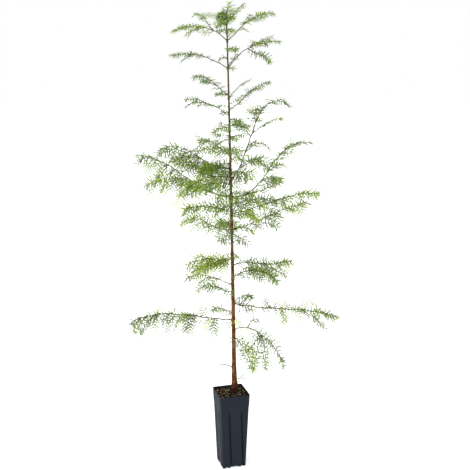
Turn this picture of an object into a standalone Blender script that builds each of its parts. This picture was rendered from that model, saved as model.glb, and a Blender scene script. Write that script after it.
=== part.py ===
"""Dawn redwood sapling, about 1.49 m tall, in a tall square nursery pot.

The origin is the middle of the pot's underside, +Z is up and the pot's faces
look along X and Y. Sizes are in millimetres, and MM turns them into metres.
Headings are degrees round the trunk, measured from the crown's broad side:
0 is its right end, 90 its back, 180 its left end and 270 its front.
"""

import math
from typing import NamedTuple

import bmesh
import bpy
import numpy as np
from mathutils import Matrix, Vector

MM = 0.001
GAP = 0.3            # clearance between pieces that touch
MERGE = 0.00005      # metres, welds a curve's caps to its tube

# Pot: a 4 inch square tree pot, 10 inches tall
POT_TOP = 101.6
POT_FOOT = 80.0
POT_HEIGHT = 254.0
POT_WALL = 1.5
POT_FLOOR = 2.5
POT_CORNER = 5.0     # radius of the upright corners
BAND_PROUD = 1.0     # how far the rim band stands out from the wall
BAND_HEIGHT = 40.0
GROOVE_SPACING = 41.0
GROOVE_RADIUS = 3.2
GROOVE_BITE = 2.0    # depth of a groove in the wall
GROOVE_TOP = 206.0
GROOVE_POINT = 24.0  # length over which a groove fades out
NOTCH_HEIGHT = 4.0   # the cut-outs that leave feet round the bottom edge
NOTCH_DEPTH = 7.0
NOTCHES = ((-27.5, 8.0), (0.0, 27.0), (27.5, 8.0))   # centre along a face, width
SOIL_BELOW_RIM = 9.0

# Trunk: its foot is beside the pot's middle and its tip leans the other way
SOIL_TOP = POT_HEIGHT - SOIL_BELOW_RIM
TRUNK_FOOT = SOIL_TOP + GAP
TRUNK_TIP = 1462.0
TRUNK_START = 11.0   # sideways from the pot's middle at the foot
TRUNK_LEAN = -24.0   # sideways from foot to tip
TRUNK_BOW = 2.5
TRUNK_THICK = 6.3    # radius just above the root flare
TRUNK_THIN = 1.0     # radius at the tip
TRUNK_TAPER = 0.85
FLARE = 8.0          # what the root flare adds to the radius at the soil
FLARE_HEIGHT = 17.0
FLARE_STATIONS = (0, 5, 12, 22, 36, 60)   # heights above the foot that shape the flare
STEM_START = 130.0   # height above the foot of the first even station
STEM_STATIONS = 12
CROWN_TURN = -16.5   # the crown's broad side against the pot's faces

# Limbs
LIMB_FOOT = 0.75     # radius at the foot of the shortest limb
LIMB_GROWTH = 0.0026  # radius gained for each millimetre of length
LIMB_STATION = 22.0  # distance between the points of a limb
LINE_STEP = 4.0      # step in which a limb's line is followed
SHARP_ANGLE = math.radians(50)

# Foliage masses: flat pads with uneven edges that droop
PAD_SIDES = 8
PAD_STATION = 18.0   # distance between the rings of a pad
PAD_RINGS = (6, 12)  # fewest and most
PAD_HALF_DEPTH = 4.5
PAD_ROUGHNESS = 0.28


class Bough(NamedTuple):
    """A limb and the foliage at its end; a bare length of 0 has foliage only."""
    name: str
    carrier: str
    at: float            # height on the trunk, or distance along another bough
    heading: float
    rises: tuple         # degrees above level at the foot, the middle and the tip
    length: float
    bare: float
    half_width: float = 0.0
    droop: float = 0.28  # drop of the foliage's edge for each millimetre of half width


BOUGHS = (
    Bough("tip", "trunk", 1425, 30, (47, 48, 22), 88, 0, 12),
    Bough("tip_left", "trunk", 1412, 160, (85, 19, -8), 95, 0, 16),
    Bough("tier12_left", "trunk", 1374, 168, (47, 9, -23), 185, 62, 22),
    Bough("tier12_left_fork", "tier12_left", 52, 134, (32, 40, -40), 115, 0, 16),
    Bough("tier12_right", "trunk", 1374, 14, (40, 37, -12), 170, 45, 24),
    Bough("tier11_left", "trunk", 1293, 196, (33, 13, -17), 185, 50, 26),
    Bough("tier11_right", "trunk", 1293, -22, (56, 26, -9), 190, 95, 24),
    Bough("tier11_right_fork", "tier11_right", 88, -44, (-30, -20, -50), 98, 0, 18),
    Bough("tier10_left", "trunk", 1214, 138, (21, 29, -27), 165, 0, 26),
    Bough("tier10_right", "trunk", 1202, 62, (42, 18, 17), 165, 0, 26),
    Bough("tier9_left", "trunk", 1153, 212, (29, 17, -36), 165, 0, 26),
    Bough("tier9_right", "trunk", 1168, 30, (29, 37, 1), 170, 0, 24),
    Bough("tier8_left", "trunk", 1113, 245, (17, -6, -19), 120, 0, 22),
    Bough("tier8_right", "trunk", 1120, -56, (29, -8, 15), 100, 0, 20),
    Bough("steep_right", "trunk", 954, 28, (42, 67, 63), 171, 171),
    Bough("steep_right_tip", "steep_right", 171, 15, (74, 39, -57), 175, 0, 24),
    Bough("steep_right_front", "steep_right", 160, -28, (36, 30, -3), 115, 0, 20),
    Bough("steep_right_inner", "steep_right", 150, 120, (46, 22, 8), 130, 0, 22),
    Bough("steep_right_side", "steep_right", 55, -40, (33, 5, -80), 118, 0, 22),
    Bough("tier7_right", "trunk", 901, -14, (-5, 57, -14), 320, 150, 28),
    Bough("tier7_left", "trunk", 904, 176, (-4, 36, -5), 330, 108, 32, 0.9),
    Bough("tier7_left_front", "tier7_left", 86, 217, (18, 8, -30), 195, 0, 38, 0.7),
    Bough("tier7_front", "trunk", 940, 228, (14, 0, -25), 175, 0, 34, 0.5),
    Bough("tier7_back", "trunk", 935, 98, (15, 8, -20), 205, 0, 32),
    Bough("tier8_left_long", "trunk", 992, 160, (-11, 28, -44), 264, 50, 34, 0.9),
    Bough("tier8_back", "trunk", 1032, 122, (11, 15, -25), 195, 0, 28),
    Bough("tier6_right", "trunk", 847, 28, (5, 12, -11), 335, 55, 32, 0.4),
    Bough("tier6_front", "trunk", 838, -62, (20, 8, -20), 175, 0, 34),
    Bough("tier6_back", "trunk", 868, 72, (15, 10, -15), 185, 0, 30),
    Bough("tier6_left", "trunk", 853, 228, (22, 11, -5), 205, 0, 30),
    Bough("tier5_right", "trunk", 794, 4, (17, 23, 15), 248, 60, 30, 0.4),
    Bough("tier5_left", "trunk", 797, 170, (-16, 24, -46), 167, 0, 28),
    Bough("tier5_back", "trunk", 800, 98, (5, -5, -25), 200, 0, 32),
    Bough("tier4_left", "trunk", 708, 198, (-14, 3, -31), 160, 0, 32, 0.6),
    Bough("tier4_right", "trunk", 681, -12, (25, -1, 23), 176, 0, 28),
    Bough("tier4_back", "trunk", 705, 85, (0, -12, -30), 190, 0, 30),
    Bough("tier3_right", "trunk", 642, -38, (34, 8, -39), 187, 0, 30, 0.5),
    Bough("tier3_left", "trunk", 616, 152, (10, 6, -43), 183, 0, 28),
    Bough("tier3_front", "trunk", 593, 232, (11, 24, -25), 182, 0, 28),
    Bough("tier2_right", "trunk", 556, -6, (-14, -1, -21), 348, 90, 28, 0.5),
    Bough("tier2_back", "trunk", 560, 60, (10, -5, -25), 125, 0, 26),
    Bough("tier1_left", "trunk", 499, 184, (2, 6, -33), 345, 60, 30, 1.1),
    Bough("tier1_front", "trunk", 440, -66, (5, -22, -42), 175, 0, 34, 0.4),
    Bough("tier1_back", "trunk", 520, 120, (0, -8, -30), 150, 0, 26),
    Bough("tier1_right", "trunk", 462, -36, (44, -24, -46), 225, 62, 30, 0.5),
)


def plain_material(name, srgb, roughness):
    """One even finish in the piece's own colour."""
    material = bpy.data.materials.new(name)
    material.use_nodes = True
    shader = material.node_tree.nodes["Principled BSDF"]
    linear = [((c + 0.055) / 1.055) ** 2.4 if c > 0.04045 else c / 12.92 for c in srgb]
    shader.inputs["Base Color"].default_value = (*linear, 1.0)
    shader.inputs["Roughness"].default_value = roughness
    shader.inputs["Metallic"].default_value = 0.0
    return material


def clear_scene():
    for thing in list(bpy.data.objects):
        bpy.data.objects.remove(thing, do_unlink=True)


def new_collection(name):
    collection = bpy.data.collections.new(name)
    bpy.context.scene.collection.children.link(collection)
    return collection


def add_mesh(name, bm, collection, material=None):
    """Turn a bmesh into an object in the collection, in world coordinates."""
    mesh = bpy.data.meshes.new(name)
    bm.to_mesh(mesh)
    bm.free()
    thing = bpy.data.objects.new(name, mesh)
    collection.objects.link(thing)
    if material:
        mesh.materials.append(material)
    return thing


def as_cutter(thing):
    thing.hide_render = True
    thing.display_type = "WIRE"
    return thing


def boolean(thing, cutter, operation):
    modifier = thing.modifiers.new(operation.lower(), "BOOLEAN")
    modifier.object = cutter
    modifier.operation = operation
    modifier.solver = "EXACT"


def trunk_axis(height):
    """The middle of the trunk at a height above the ground, before the crown's turn."""
    t = (height - TRUNK_FOOT) / (TRUNK_TIP - TRUNK_FOOT)
    bow = 4.0 * TRUNK_BOW * t * (1.0 - t)
    return Vector((TRUNK_START + TRUNK_LEAN * t + bow, 0.0, height))


def trunk_radius(height):
    t = min(max((height - TRUNK_FOOT) / (TRUNK_TIP - TRUNK_FOOT), 0.0), 1.0)
    stem = TRUNK_THIN + (TRUNK_THICK - TRUNK_THIN) * (1.0 - t) ** TRUNK_TAPER
    return stem + FLARE * math.exp(-(height - TRUNK_FOOT) / FLARE_HEIGHT)


def bough_radius(bough, along):
    """A limb's radius: thicker on a longer bough, and half as thick at its tip."""
    foot = LIMB_FOOT + LIMB_GROWTH * bough.length
    return foot * (1.0 - 0.5 * along / bough.length)


def rise_at(rises, t):
    """The rise in degrees at a fraction of the length, smooth through three values."""
    foot, middle, tip = rises
    return foot * (1 - t) * (1 - 2 * t) + 4 * middle * t * (1 - t) + tip * t * (2 * t - 1)


def bough_point(bough, foot, along):
    """The place that lies a distance along a bough which starts at foot."""
    steps = max(2, math.ceil(along / LINE_STEP))
    step = along / steps
    reach = 0.0
    height = 0.0
    for i in range(steps):
        rise = math.radians(rise_at(bough.rises, (i + 0.5) * step / bough.length))
        reach += step * math.cos(rise)
        height += step * math.sin(rise)
    heading = math.radians(bough.heading)
    return foot + Vector((reach * math.cos(heading), reach * math.sin(heading), height))


def bough_foot(bough, by_name):
    """Where a bough leaves the trunk's axis or another bough's axis."""
    if bough.carrier == "trunk":
        return trunk_axis(bough.at)
    carrier = by_name[bough.carrier]
    return bough_point(carrier, bough_foot(carrier, by_name), bough.at)


def tapered_tube(name, points, radii, collection, material=None):
    """A closed tapering tube along the points, turned with the crown."""
    curve = bpy.data.curves.new(name, "CURVE")
    curve.dimensions = "3D"
    curve.bevel_depth = MM
    curve.bevel_resolution = 2
    curve.use_fill_caps = True
    spline = curve.splines.new("POLY")
    spline.points.add(len(points) - 1)
    for slot, point, radius in zip(spline.points, points, radii):
        slot.co = (*(point * MM), 1.0)
        slot.radius = radius
    tube = bpy.data.objects.new(name + "_curve", curve)
    tube.rotation_euler.z = math.radians(CROWN_TURN)
    collection.objects.link(tube)
    bpy.context.view_layer.update()
    evaluated = tube.evaluated_get(bpy.context.evaluated_depsgraph_get())
    bm = bmesh.new()
    bm.from_mesh(bpy.data.meshes.new_from_object(evaluated))
    bm.transform(tube.matrix_world)
    bmesh.ops.remove_doubles(bm, verts=bm.verts, dist=MERGE)
    bpy.data.objects.remove(tube, do_unlink=True)
    thing = add_mesh(name, bm, collection, material)
    thing.data.shade_smooth()
    thing.data.set_sharp_from_angle(angle=SHARP_ANGLE)
    return thing


def trunk_tube(name, clearance, collection, material=None):
    """The trunk, or with a clearance the cutter that keeps other pieces off it."""
    flare_heights = [TRUNK_FOOT + h for h in FLARE_STATIONS]
    stem_heights = np.linspace(TRUNK_FOOT + STEM_START, TRUNK_TIP, STEM_STATIONS)
    heights = flare_heights + list(stem_heights)
    radii = [trunk_radius(h) + clearance for h in heights]
    points = [trunk_axis(h) for h in heights]
    points[0] = Vector((points[1].x, 0.0, heights[0]))
    return tapered_tube(name, points, radii, collection, material)


def limb(name, bough, foot, clearance, collection, material=None):
    """The bare wood of a bough, from its carrier's axis to where its foliage starts."""
    count = max(4, round(bough.bare / LIMB_STATION) + 1)
    stations = np.linspace(0.0, bough.bare, count)
    points = [bough_point(bough, foot, s) for s in stations]
    radii = [bough_radius(bough, s) + clearance for s in stations]
    return tapered_tube(name, points, radii, collection, material)


def pad_outline(t):
    """Share of the full half width at a fraction of the foliage's length."""
    return math.sin(math.pi * t ** 0.85) ** 0.85


def foliage_pad(bough, foot, seed, collection, material):
    """A ball drawn out along the bough's line into a flat, uneven, drooping pad."""
    random = np.random.default_rng(seed)
    start = bough.bare + GAP if bough.bare else 0.0
    length = bough.length - start
    rings = int(np.clip(round(length / PAD_STATION), *PAD_RINGS))
    lobes = 1.0 + PAD_ROUGHNESS * random.uniform(-1.0, 0.6, (rings + 1, 2))
    heading = math.radians(bough.heading)
    across = Vector((-math.sin(heading), math.cos(heading), 0.0))
    bm = bmesh.new()
    bmesh.ops.create_uvsphere(bm, u_segments=PAD_SIDES, v_segments=rings, radius=1.0)
    for vert in bm.verts:
        t = 1.0 - math.acos(max(-1.0, min(1.0, vert.co.z))) / math.pi
        ring = round(t * rings)
        centre = bough_point(bough, foot, start + t * length)
        if ring in (0, rings):
            vert.co = centre * MM
            continue
        ring_radius = math.hypot(vert.co.x, vert.co.y)
        side = vert.co.x / ring_radius
        up = vert.co.y / ring_radius
        share = pad_outline(t)
        width = bough.half_width * share * lobes[ring][0 if side > 0 else 1]
        depth = PAD_HALF_DEPTH * (0.35 + 0.65 * share)
        drop = bough.droop * width * side * side
        vert.co = (centre + across * side * width + Vector((0.0, 0.0, up * depth - drop))) * MM
    bm.transform(Matrix.Rotation(math.radians(CROWN_TURN), 4, "Z"))
    bmesh.ops.triangulate(bm, faces=bm.faces)
    return add_mesh("foliage_" + bough.name, bm, collection, material)


def square_block(name, foot_half, top_half, low, high, corner, collection, material=None):
    """A square block whose sides slope from foot_half to top_half, with round corners."""
    bm = bmesh.new()
    bmesh.ops.create_cone(
        bm, cap_ends=True, segments=4, depth=high - low,
        radius1=foot_half * math.sqrt(2.0), radius2=top_half * math.sqrt(2.0))
    bm.transform(Matrix.Rotation(math.radians(45), 4, "Z"))
    bm.transform(Matrix.Translation((0.0, 0.0, (low + high) / 2)))
    uprights = [e for e in bm.edges if abs(e.verts[0].co.z - e.verts[1].co.z) > 1.0]
    bmesh.ops.bevel(bm, geom=uprights, offset=corner, segments=3, profile=0.5, affect="EDGES")
    bm.transform(Matrix.Scale(MM, 4))
    return add_mesh(name, bm, collection, material)


def wall_at(height):
    """Half the pot's outer width, under the band, at a height."""
    foot = POT_FOOT / 2
    top = POT_TOP / 2 - BAND_PROUD
    return foot + (top - foot) * height / POT_HEIGHT


def groove_cutter(name, inset, face, side, collection):
    """A pointed rod laid along one groove of one face; inset makes it fatter."""
    radius = GROOVE_RADIUS + inset
    foot = -12.0
    profile = ((0.0, GROOVE_TOP), (radius, GROOVE_TOP - GROOVE_POINT), (radius, foot), (0.0, foot))
    bm = bmesh.new()
    verts = [bm.verts.new((r * MM, 0.0, z * MM)) for r, z in profile]
    for low, high in zip(verts, verts[1:]):
        bm.edges.new((low, high))
    rod = add_mesh(name, bm, collection)
    screw = rod.modifiers.new("turn", "SCREW")
    screw.steps = 12
    screw.render_steps = 12
    screw.use_merge_vertices = True
    screw.merge_threshold = MERGE
    slope = math.atan2(wall_at(POT_HEIGHT) - wall_at(0.0), POT_HEIGHT)
    middle = wall_at(0.0) - GROOVE_BITE + GROOVE_RADIUS
    place = Matrix.Translation((middle * MM, side * GROOVE_SPACING / 2 * MM, 0.0))
    turn = Matrix.Rotation(math.radians(90 * face), 4, "Z")
    rod.matrix_world = turn @ place @ Matrix.Rotation(slope, 4, "Y")
    return as_cutter(rod)


def grooved_block(name, inset, low, high, collection, cutters, material=None):
    """The pot's outer shape, or what lies inside it, shrunk by inset all round."""
    block = square_block(
        name, wall_at(low) - inset, wall_at(high) - inset, low, high,
        POT_CORNER - inset, collection, material)
    for face in range(4):
        for side in (-1, 1):
            rod = groove_cutter(f"{name}_groove_{face}_{side}", inset, face, side, cutters)
            boolean(block, rod, "DIFFERENCE")
    return block


def box_cutter(name, size, centre, turn, collection):
    bm = bmesh.new()
    bmesh.ops.create_cube(bm, size=1.0)
    bm.transform(Matrix.Diagonal((*size, 1.0)))
    bm.transform(turn @ Matrix.Translation(centre))
    bm.transform(Matrix.Scale(MM, 4))
    return as_cutter(add_mesh(name, bm, collection))


def make_pot(collection, cutters, material):
    """Thin square pot: a plain band at the rim, two grooves a face, feet at the bottom."""
    pot = grooved_block("pot", 0.0, 0.0, POT_HEIGHT, collection, cutters, material)
    band_low = POT_HEIGHT - BAND_HEIGHT
    band = square_block(
        "pot_band", wall_at(band_low) + BAND_PROUD, POT_TOP / 2, band_low, POT_HEIGHT,
        POT_CORNER + BAND_PROUD, cutters)
    boolean(pot, as_cutter(band), "UNION")
    above = POT_HEIGHT + 5.0
    inside = grooved_block("pot_inside", POT_WALL, POT_FLOOR, above, cutters, cutters)
    boolean(pot, as_cutter(inside), "DIFFERENCE")
    for face in range(4):
        turn = Matrix.Rotation(math.radians(90 * face), 4, "Z")
        for number, (middle, width) in enumerate(NOTCHES):
            size = (2 * NOTCH_DEPTH, width, 2 * NOTCH_HEIGHT)
            notch = box_cutter(
                f"pot_notch_{face}_{number}", size, Vector((wall_at(0.0), middle, 0.0)), turn, cutters)
            boolean(pot, notch, "DIFFERENCE")
    return pot


def make_crown(collection, cutters, wood, needles):
    """Every limb and foliage pad, each cut clear of what carries it."""
    by_name = {bough.name: bough for bough in BOUGHS}
    trunk_cutter = as_cutter(trunk_tube("trunk_clearance", GAP, cutters))
    limb_cutters = {}
    for bough in BOUGHS:
        if bough.bare:
            foot = bough_foot(bough, by_name)
            clearance = limb("clearance_" + bough.name, bough, foot, GAP, cutters)
            limb_cutters[bough.name] = as_cutter(clearance)
    for seed, bough in enumerate(BOUGHS):
        foot = bough_foot(bough, by_name)
        cutter = trunk_cutter if bough.carrier == "trunk" else limb_cutters[bough.carrier]
        if bough.bare:
            wooden = limb("bough_" + bough.name, bough, foot, 0.0, collection, wood)
            boolean(wooden, cutter, "DIFFERENCE")
        if bough.half_width:
            pad = foliage_pad(bough, foot, seed, collection, needles)
            if not bough.bare:
                boolean(pad, cutter, "DIFFERENCE")


def main():
    clear_scene()
    parts = new_collection("dawn_redwood_sapling")
    cutters = new_collection("cutters")
    plastic = plain_material("pot_plastic", (0.20, 0.21, 0.24), 0.45)
    bark_mix = plain_material("potting_mix", (0.14, 0.10, 0.08), 0.95)
    wood = plain_material("bark", (0.48, 0.30, 0.16), 0.85)
    needles = plain_material("needles", (0.40, 0.55, 0.25), 0.6)
    make_pot(parts, cutters, plastic)
    grooved_block("soil", POT_WALL + GAP, POT_FLOOR + GAP, SOIL_TOP, parts, cutters, bark_mix)
    trunk_tube("trunk", 0.0, parts, wood)
    make_crown(parts, cutters, wood, needles)


main()
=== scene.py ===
"""Looks of a potted dawn redwood sapling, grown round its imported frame.

The crown is grown by a seeded rule: each bough of the frame carries pairs of
branchlets, and each branchlet two flat rows of needles. Sizes are in
millimetres in the crown's own frame, where heading 0 is the right end of the
crown's broad side and 90 its back. place() turns them into the frame's metres.
"""

import math
from typing import NamedTuple

import bpy
import numpy as np
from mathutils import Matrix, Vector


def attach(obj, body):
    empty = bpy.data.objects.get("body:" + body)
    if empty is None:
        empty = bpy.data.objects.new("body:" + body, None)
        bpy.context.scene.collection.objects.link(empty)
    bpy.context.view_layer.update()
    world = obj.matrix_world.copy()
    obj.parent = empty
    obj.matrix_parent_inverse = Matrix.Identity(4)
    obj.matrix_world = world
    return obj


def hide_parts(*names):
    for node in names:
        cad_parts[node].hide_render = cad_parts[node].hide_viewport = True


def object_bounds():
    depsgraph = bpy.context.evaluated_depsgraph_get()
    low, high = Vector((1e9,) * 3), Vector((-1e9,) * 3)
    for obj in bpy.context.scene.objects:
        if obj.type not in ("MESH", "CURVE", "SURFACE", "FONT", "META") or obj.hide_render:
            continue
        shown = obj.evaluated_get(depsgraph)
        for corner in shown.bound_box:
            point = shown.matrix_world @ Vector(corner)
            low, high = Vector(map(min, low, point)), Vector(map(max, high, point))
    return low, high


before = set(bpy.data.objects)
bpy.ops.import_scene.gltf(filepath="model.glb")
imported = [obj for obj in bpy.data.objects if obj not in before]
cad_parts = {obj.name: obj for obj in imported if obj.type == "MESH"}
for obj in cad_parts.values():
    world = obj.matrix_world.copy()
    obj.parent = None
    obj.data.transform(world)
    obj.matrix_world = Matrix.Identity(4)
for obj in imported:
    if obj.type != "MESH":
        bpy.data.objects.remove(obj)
cad_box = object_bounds()

MM = 0.001
SEED = 11
ROUND = 2 * math.pi
RIGHT, BACK, UP = np.eye(3)

# Pot
POT_TOP = 101.6
POT_FOOT = 80.0
POT_HEIGHT = 254.0
POT_WALL = 1.5
POT_CORNER = 7.0
BAND_PROUD = 1.0
BAND_HEIGHT = 40.0
BAND_STEP = 2.5      # height over which the band runs out into the wall
GROOVE_SPACING = 41.0
GROOVE_HALF = 3.0
GROOVE_BITE = 6.0
GROOVE_TOP = 206.0
GROOVE_POINT = 26.0
GROOVE_LEAN = 9.0    # how far round the pot a groove drifts from its top to the foot
NOTCH_HEIGHT = 4.0
NOTCH_DEPTH = 7.0
NOTCHES = ((0.0, 27.0), (27.5, 8.0))   # distance either way from the middle of a side, width
RIM_ROUND = 0.7
# Rings of the lip: height above the rim, distance in from its outside, what the corner loses
LIP = ((-0.2, 0.25, 0.0), (0.0, 0.8, 0.5), (0.0, 1.9, 2.0), (-0.5, 2.5, 2.4))
WALL_RINGS = 46
BAND_RINGS = 8
SIDE_POINTS = 121
SOIL_TOP = 245.0
SOIL_PROUD = 1.0     # how far the mix lies above the frame's flat top
SOIL_DEPTH = 12.0
SOIL_GAP = 0.1       # between the mix and the pot's wall
SOIL_ROUGH = 0.35
SOIL_WAVES = 14
SOIL_POINTS = 71
SOIL_MOUND = 5.0     # rise of the potting mix towards the trunk
SOIL_SPREAD = 26.0   # how far from the trunk the rise reaches
POT_FLOOR = SOIL_TOP - 6.0   # where the pot's skin closes, out of sight in the mix
CHIP_SIDES = 6
CHIP_EDGE = 4.0      # how far the chips stay from the pot's wall

# Trunk, as in the frame
TRUNK_FOOT = 245.3
TRUNK_TIP = 1462.0
TRUNK_START = 11.0
TRUNK_LEAN = -24.0
TRUNK_BOW = 2.5
TRUNK_THICK = 6.3
TRUNK_THIN = 1.0
TRUNK_TAPER = 0.85
FLARE = 8.0
FLARE_HEIGHT = 17.0
TRUNK_SUNK = 7.0     # how far the visible trunk goes into the potting mix
CROWN_TURN = math.radians(-16.5)

# Bark
BARK_SIDES = 30
BARK_RING = 2.6      # distance between the rings of the trunk's mesh
BARK_PROUD = 0.45    # how far the bark stands out from the frame's smooth pole
BARK_ROUGH = 0.035
BUTT_SWELL = 2.6     # what the swollen butt adds to the radius at the ground
BUTT_HEIGHT = 130.0
FISSURES = (5, 7, 9, 12, 14)   # how many run round the trunk, in five sets that cross
FISSURE_DEPTH = 0.6
FISSURE_FADE = 0.75    # how much shallower they are at the tip
SCARS = 60           # rings left by old buds
SCAR_GAP = (16, 38)
SCAR_START = 20      # the height over the trunk's foot from which they are counted
SCAR_PROUD = 0.22
SCAR_HALF = 1.6
KNOBS = 70
KNOBS_UP_TO = 1000.0
KNOB_HALF = 4.5
KNOB_ROUND = 0.7     # half width of a knob round the trunk, in radians
SWELL = 0.5          # what the trunk's radius gains under any bough
SWELL_GROWTH = 0.004    # what each millimetre of the bough's length adds
SWELL_HALF = 5.5
SWELL_ROUND = 0.75
SWELL_LOW = 1.0      # how far below the bough its middle lies
ROOT_LOBES = ((0.3, 0.9), (1.5, 0.6), (2.7, 1.0), (3.9, 0.75), (5.2, 0.95))   # heading, size
ROOT_LOBE_HALF = 0.42
LOBE_SHARE = 1.05    # share of the flare that a root lobe takes
ROUND_SHARE = 0.2    # share of it that goes all round

# Colours of the bark at shares of the height from the soil to the tip
TRUNK_COLOURS = (
    (0.0, "#1b0e08"), (0.014, "#2d170b"), (0.035, "#5c3311"), (0.14, "#6a4114"), (0.3, "#684320"),
    (0.5, "#624424"), (0.75, "#5c4527"), (1.0, "#56482a"))
BOUGH_COLOURS = ((0.0, "#5a3a16"), (0.5, "#544722"), (1.0, "#4f4a28"))

# Limbs
LIMB_FOOT = 0.95
LIMB_GROWTH = 0.0026
LIMB_TIP = 0.42      # share of the foot's radius that is left at the very tip
LIMB_TAPER = 0.9
FEATHER_STEM = 0.7   # how much thinner the stem of a shoot with needles only is
BARE_TIP = 0.85      # what LIMB_TIP is on a limb with no foliage of its own
BARE_STOUT = 1.25    # how much thicker such a limb is
LINE_STEP = 3.0
SWAY = ((1.1, 17.0), (0.7, 7.0))   # size and length of a limb's sideways waves
LIFT = ((0.8, 13.0), (0.5, 6.0))   # the same up and down
STRAIGHT_FOOT = 25.0   # distance over which the waves grow to their full size
LIMB_SIDES = 9
COLLAR = 0.9         # what the collar adds to a limb's radius at its foot
COLLAR_LENGTH = 3.5
LIMB_KNOT = 0.16     # what a knot adds to the radius, as a share of it
KNOT_SPAN = 4.6
LIMB_RIDGE = 0.07    # the same for each of three ridges that wind along the limb
RIDGE_SPAN = 9.0
LIMB_ROUGH = 0.05
LIMB_POINT = 0.3     # length of the point at its very tip

# Branchlets and needles
EDGE_KEPT = 8.0      # how far short of the frame's box a branchlet ends
TUFT = 25.0          # a shorter shoot is a tuft
TUFT_GAP = 0.4       # how much closer its branchlets stand
BRANCHLET_JOINTS = 7
SAG = 2.0            # how strongly droop bends a branchlet's tip down
SWEEP = 0.35         # how strongly its tip turns towards the tip of its bough
STEM_SIDES = 3
STEM_FOOT = 0.85
STEM_TIP = 0.5
NEEDLE_HALF = 0.85   # half width of a very short needle; a little more than in life
NEEDLE_WIDENS = 0.03    # what each millimetre of length adds to the half width
NEEDLE_BEND = 0.09   # how far its tip bends out of line, as a share of its length
FEATHER = 10.0       # a shoot with a smaller half width carries needles only
FEATHER_NEEDLE = 0.95    # length of its needles, as a share of the others'
FEATHER_RISES = (-30, -52, -66)
FOLIAGE_START = 9.0  # where foliage starts on a bough with no bare stretch
FOLIAGE_END = 3.0    # bare length at a bough's very tip
YOUNG = 0.45         # share of a bough's length beyond which it carries needles itself
MISSING = 0.07       # share of the branchlets that are missing
SPLAY = (64, -24)    # degrees between a branchlet and its bough, and what the tip adds
NEEDLE_SPLAY = (66, -34)   # the same between a needle and its branchlet
CROWN_REACH = 320.0  # from the trunk to the tip of a long bough
LEAST_KEPT = 0.25    # share of its length that a branchlet keeps at the frame's edge
TINT_GROWTH = 0.1    # how much fresher a spray is at that reach than at the trunk
TINT_MIDDLE = 0.35   # the reach where a spray has the middle tint
TINT_SPREAD = 0.22
NEEDLE_TILT = 0.09   # how far needles lean out of their flat row
NEEDLE_CANT = 0.22   # how far they turn on their own length

# Camera, light and floor
LENS = 58.2
CAMERA_SPOT = (12.7, -2350.0, 1269.0)
CAMERA_DOWN = 11.77  # degrees that the camera looks down
SKY_LIGHT = 2.2
SKY_SOFTNESS = math.radians(110)
SKY_TURN = (math.radians(28), math.radians(-32), CROWN_TURN)
ROOM_LIGHT = 0.8     # how bright the white room shines, and how bright it looks
ROOM_SEEN = 1.0
FLOOR_REACH = 40000.0
FLOOR_SIDES = 96


class Bough(NamedTuple):
    """A line of growth: a bough or a smaller shoot."""
    carrier: str         # what it grows on: the trunk, or a bough by its name
    at: float            # where on it: a height on the trunk, or how far along a bough
    heading: float
    rises: tuple         # its slopes in degrees at the foot, the middle and the tip
    length: float
    bare: float          # how far from the foot its foliage starts
    half_width: float = 0.0    # sets the length of its branchlets; at 0 it has no foliage
    droop: float = 0.28  # how strongly its branchlets bend down
    tone: float = 0.0    # its needles are fresher than the rest above 0, darker below it
    name: str = ""       # every bough has one, and a shoot that others grow on


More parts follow.
